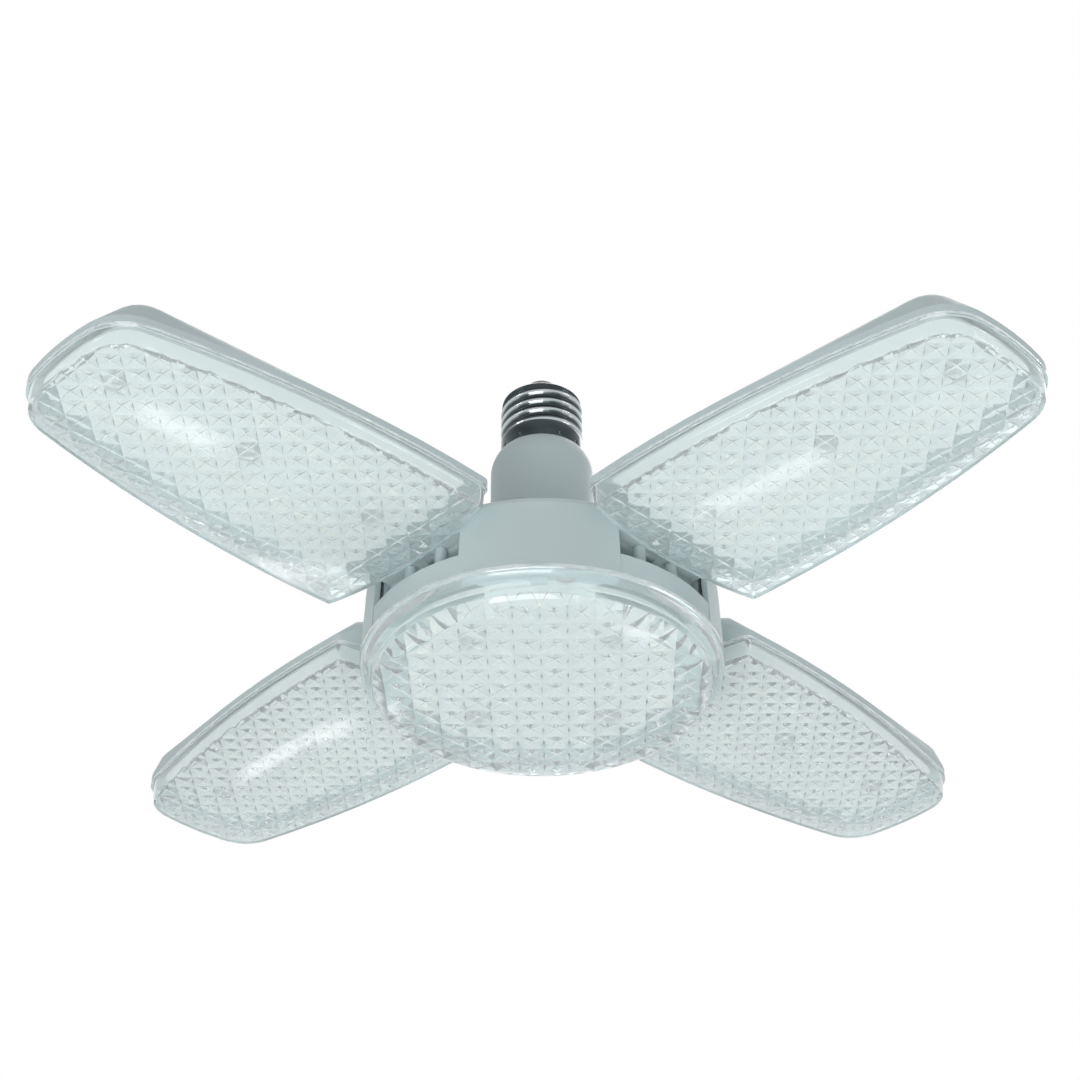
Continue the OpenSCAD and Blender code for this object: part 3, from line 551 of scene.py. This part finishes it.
# The rows of prisms lie along the same directions on all four open blades, so blades 2 and 4 have
# them turned the other way from blades 1 and 3
blade_lenses = {side: blade_lens_mesh(math.radians(side * 45)) for side in (-1, 1)}
for i, turn in BLADE_TURNS.items():
    lens = make_piece(f"prism_lens_{i}", blade_lenses[-1 if i % 2 else 1].copy(), "clear_lens",
                      turn=turn, lift=BLADE_LEVEL)
    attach(lens, f"blade_{i}")
    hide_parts(f"blade_lens_{i}")

round_lens = make_piece("prism_lens_round", round_lens_mesh(), "clear_lens", lift=RIM)
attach(round_lens, "hub")
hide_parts("centre_lens")

shell = make_piece("rolled_cap", screw_shell_mesh(), "cap_metal", sharp=40)
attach(shell, "hub")
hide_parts("screw_shell")


# ---------- Stage ----------

def add_camera():
    """The photograph's camera: rows of turned are its right, down and forward directions."""
    rise, roll, turn = (math.radians(CAMERA[k]) for k in ("rise", "roll", "turn"))
    tilt = Matrix(((1, 0, 0), (0, math.sin(rise), -math.cos(rise)),
                   (0, math.cos(rise), math.sin(rise))))
    turned = Matrix.Rotation(roll, 3, "Z") @ tilt @ Matrix.Rotation(turn, 3, "Z")
    offset = Vector((CAMERA["aside"], CAMERA["down"], CAMERA["distance"]))
    place = -(turned.transposed() @ offset) + Vector((0, 0, RIM))
    axes = Matrix((turned[0], -turned[1], -turned[2])).transposed()
    data = bpy.data.cameras.new("camera")
    data.sensor_width = SENSOR
    data.lens = CAMERA["focal_px"] / PHOTO_PX * SENSOR
    camera = add_object("camera", data)
    camera.matrix_world = Matrix.Translation(place * MM) @ axes.to_4x4()
    bpy.context.scene.camera = camera


def add_lamp(name, place, target, size, power, along=None):
    """A soft lamp that looks at a point. Places and sizes are in metres, power in watts, and along
    is the direction of its long side."""
    data = bpy.data.lights.new(name, "AREA")
    data.shape, data.size, data.size_y, data.energy = "RECTANGLE", size[0], size[1], power
    back = (Vector(place) - Vector(target)).normalized()
    side = Vector(along).cross(back) if along else back.cross((0, 0, 1))
    side.normalize()
    axes = Matrix((-back.cross(side), side, back)).transposed()
    lamp = add_object(name, data)
    lamp.matrix_world = Matrix.Translation(place) @ axes.to_4x4()
    lamp.visible_camera = False


def background_ray(nodes, links):
    """1 for rays of the camera, gloss and glass, which see the white background."""
    path = nodes.new("ShaderNodeLightPath")
    seen = math_node(nodes, links, "MAXIMUM", path.outputs["Is Camera Ray"],
                     path.outputs["Is Glossy Ray"])
    return math_node(nodes, links, "MAXIMUM", seen, path.outputs["Is Transmission Ray"])


def add_world():
    """White to the camera, gloss and glass, and a soft fill for the rest."""
    world = bpy.data.worlds.new("studio")
    world.use_nodes = True
    nodes, links = world.node_tree.nodes, world.node_tree.links
    fill = nodes["Background"]
    fill.inputs["Color"].default_value = (0.97, 0.985, 1, 1)
    fill.inputs["Strength"].default_value = 0.34
    white = nodes.new("ShaderNodeBackground")
    white.inputs["Color"].default_value = (1, 1, 1, 1)
    white.inputs["Strength"].default_value = 1
    both = mix_shaders(nodes, links, background_ray(nodes, links), fill.outputs[0],
                       white.outputs[0])
    links.new(both, nodes["World Output"].inputs["Surface"])
    bpy.context.scene.world = world


def add_floor():
    """A wide pale floor well below the light, in metres, which fades into the background but
    keeps a shadow."""
    half, z, fade = 4, -1.2, 0.8
    bm = bmesh.new()
    bm.faces.new([bm.verts.new((x * half, y * half, z))
                  for x, y in ((-1, -1), (1, -1), (1, 1), (-1, 1))])
    paint = moulded("floor_paint", (0.85, 0.86, 0.86), 0.6, 0.01, 60, 0.05)
    nodes, links = paint.node_tree.nodes, paint.node_tree.links
    white = nodes.new("ShaderNodeEmission")
    white.inputs["Strength"].default_value = 1
    share = math_node(nodes, links, "MULTIPLY", background_ray(nodes, links), fade)
    both = mix_shaders(nodes, links, share, nodes["Principled BSDF"].outputs[0], white.outputs[0])
    links.new(both, nodes["Material Output"].inputs["Surface"])
    floor = add_object("floor", make_mesh("floor", bm, paint))


HUB = (0, 0, -0.1)
CAP = (0, 0, 0)
LAMPS = (
    # Name, place, target, width and height in metres, watts, direction of the long side
    ("key", (-0.2, -0.9, -0.97), HUB, (0.8, 0.8), 9.8),
    ("front", (0.15, -1.1, -0.6), HUB, (0.6, 0.6), 0.2),
    ("side", (0.9, 0.2, -0.7), HUB, (0.7, 0.7), 2.2),
    ("top", (0.2, 0.6, 0.9), (0, 0, -0.08), (0.9, 0.9), 4),
    # Narrow lamps that the cap mirrors to the camera as streaks
    ("edge_left", (-0.8, -0.5, 0.25), CAP, (0.05, 0.3), 0.5),
    ("edge_right", (0.8, -0.3, 0.3), CAP, (0.05, 0.3), 0.5),
    # Small lamps that the flat lenses mirror to the camera
    ("glint_1", (-0.286, 0.719, -0.785), (-0.095, -0.117, -0.095), (0.07, 0.075), 0.05,
     (0.467, -0.497, -0.732)),
    ("glint_2", (0.126, 0.783, -0.766), (0.051, -0.086, -0.095), (0.14, 0.04), 0.05,
     (0.772, -0.429, -0.468)),
    ("glint_3", (-0.227, 0.984, -0.658), (-0.085, 0.05, -0.095), (0.13, 0.035), 0.05,
     (0.897, -0.12, -0.425)),
)

add_camera()
add_world()
add_floor()
for lamp in LAMPS:
    add_lamp(*lamp)

bpy.context.scene.view_settings.view_transform = "Standard"
